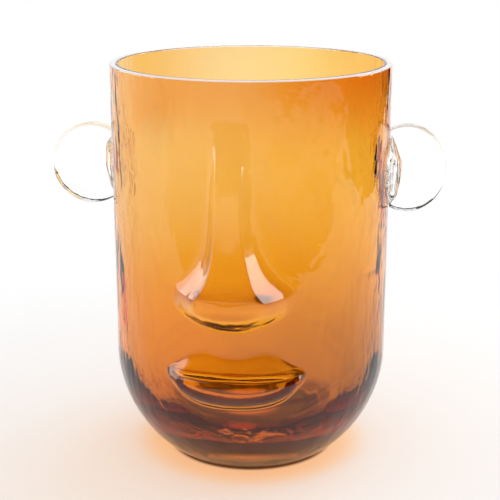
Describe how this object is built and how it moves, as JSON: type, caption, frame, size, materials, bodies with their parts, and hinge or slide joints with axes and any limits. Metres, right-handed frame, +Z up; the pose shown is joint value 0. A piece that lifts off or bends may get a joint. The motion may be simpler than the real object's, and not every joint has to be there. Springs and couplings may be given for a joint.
{
  "type": "face vase",
  "caption": "Straight-walled cased-glass vase with a rounded bottom, a nose and mouth in relief on the front and a clear disc ear on each side.",
  "frame": {"origin": "centre of the flat foot, on the surface that the vase stands on", "axes": "+Z up along the vessel's axis, the face looks along -Y, the ears lie on -X and +X"},
  "size_m": [0.2435, 0.1865, 0.245],
  "materials": {
    "amber_glass": "transparent amber glass, glossy, colour deepening towards the base",
    "clear_glass": "clear hand-worked glass, glossy, with slight waves and a few small bubbles"
  },
  "bodies": {
    "root": {"amber_lining": "amber_glass", "clear_casing": "clear_glass", "left_ear": "clear_glass", "right_ear": "clear_glass"}
  },
  "joints": []
}
